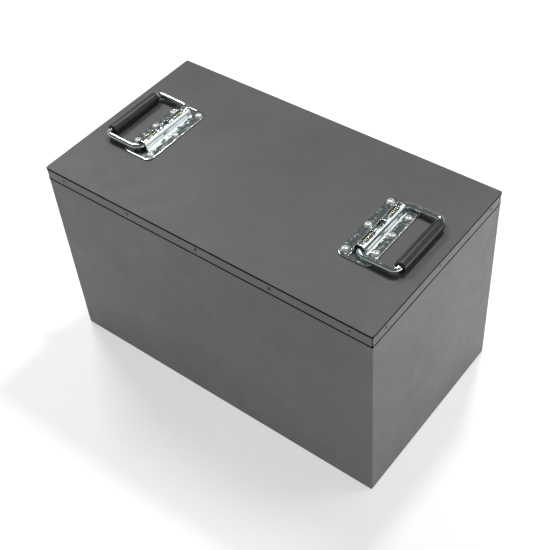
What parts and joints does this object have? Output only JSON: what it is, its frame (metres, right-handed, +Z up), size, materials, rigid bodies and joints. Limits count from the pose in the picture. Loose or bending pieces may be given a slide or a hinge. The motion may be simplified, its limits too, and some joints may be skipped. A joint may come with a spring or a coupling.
{
  "type": "battery pack",
  "caption": "Rectangular sheet-steel battery pack with a screwed flanged lid, folding sprung carry handles on top and through-wall power terminals on one end.",
  "frame": {"origin": "middle of the underside of the case, on the surface it stands on", "axes": "+X along the case away from the terminals, +Y across it towards its far long side, +Z up"},
  "size_m": [0.532, 0.276, 0.3133],
  "materials": {
    "case_paint": "dark grey powder coat, satin, fine texture",
    "gasket_rubber": "matte black rubber",
    "dull_steel": "dull grey zinc",
    "zinc_steel": "bright zinc plate",
    "chrome_plate": "bright nickel-chrome plate on stamped steel",
    "spring_steel": "oiled spring wire",
    "grip_plastic": "black PVC, dull",
    "aluminium": "mill finish",
    "cell_wrap": "blue shrink wrap",
    "glass_board": "pale green glass-epoxy board",
    "foam": "closed-cell foam",
    "copper": null,
    "circuit_board": "green solder mask",
    "lead_jacket": "black silicone jacket",
    "red_plastic": "red moulded insulator",
    "black_plastic": "black moulded insulator",
    "brass": "plain turned brass"
  },
  "bodies": {
    "root": {"case_body": "case_paint", "lid": "case_paint", "lid_gasket": "gasket_rubber", "lid_screws": "dull_steel", "clinch_nuts": "zinc_steel", "handle_plate_left": "chrome_plate", "handle_springs_left": "spring_steel", "handle_screws_left": "zinc_steel", "handle_backing_left": "zinc_steel", "handle_nuts_left": "zinc_steel", "end_plate_left": "aluminium", "handle_plate_right": "chrome_plate", "handle_springs_right": "spring_steel", "handle_screws_right": "zinc_steel", "handle_backing_right": "zinc_steel", "handle_nuts_right": "zinc_steel", "end_plate_right": "aluminium", "cell_01": "cell_wrap", "cell_02": "cell_wrap", "cell_03": "cell_wrap", "cell_04": "cell_wrap", "cell_05": "cell_wrap", "cell_06": "cell_wrap", "cell_07": "cell_wrap", "cell_08": "cell_wrap", "cell_09": "cell_wrap", "cell_10": "cell_wrap", "cell_11": "cell_wrap", "cell_12": "cell_wrap", "cell_13": "cell_wrap", "cell_14": "cell_wrap", "cell_15": "cell_wrap", "cell_16": "cell_wrap", "cell_17": "cell_wrap", "cell_18": "cell_wrap", "cell_19": "cell_wrap", "cell_20": "cell_wrap", "cell_21": "cell_wrap", "cell_22": "cell_wrap", "cell_23": "cell_wrap", "cell_24": "cell_wrap", "cell_spacers": "glass_board", "bottom_pad": "foam", "pack_straps": "zinc_steel", "busbars": "copper", "cell_nuts": "zinc_steel", "top_board": "glass_board", "bms_board": "circuit_board", "heat_sink": "aluminium", "bms_fasteners": "zinc_steel", "power_leads": "lead_jacket", "terminal_base_positive": "red_plastic", "terminal_base_negative": "black_plastic", "terminal_studs": "brass", "terminal_nuts": "zinc_steel"},
    "handle_left": {"handle_bail_left": "chrome_plate", "handle_grip_left": "grip_plastic"},
    "handle_right": {"handle_bail_right": "chrome_plate", "handle_grip_right": "grip_plastic"}
  },
  "joints": [
    {"name": "handle_left_fold", "type": "hinge", "parent": "root", "child": "handle_left", "pos_m": [-0.168, 0, 0.3042], "axis": [0, 1, 0], "range_deg": [0, 88.3], "stiffness_Nm_per_rad": 0.25, "springref_deg": -28.65},
    {"name": "handle_right_fold", "type": "hinge", "parent": "root", "child": "handle_right", "pos_m": [0.168, 0, 0.3042], "axis": [0, -1, 0], "range_deg": [0, 88.3], "stiffness_Nm_per_rad": 0.25, "springref_deg": -28.65}
  ]
}
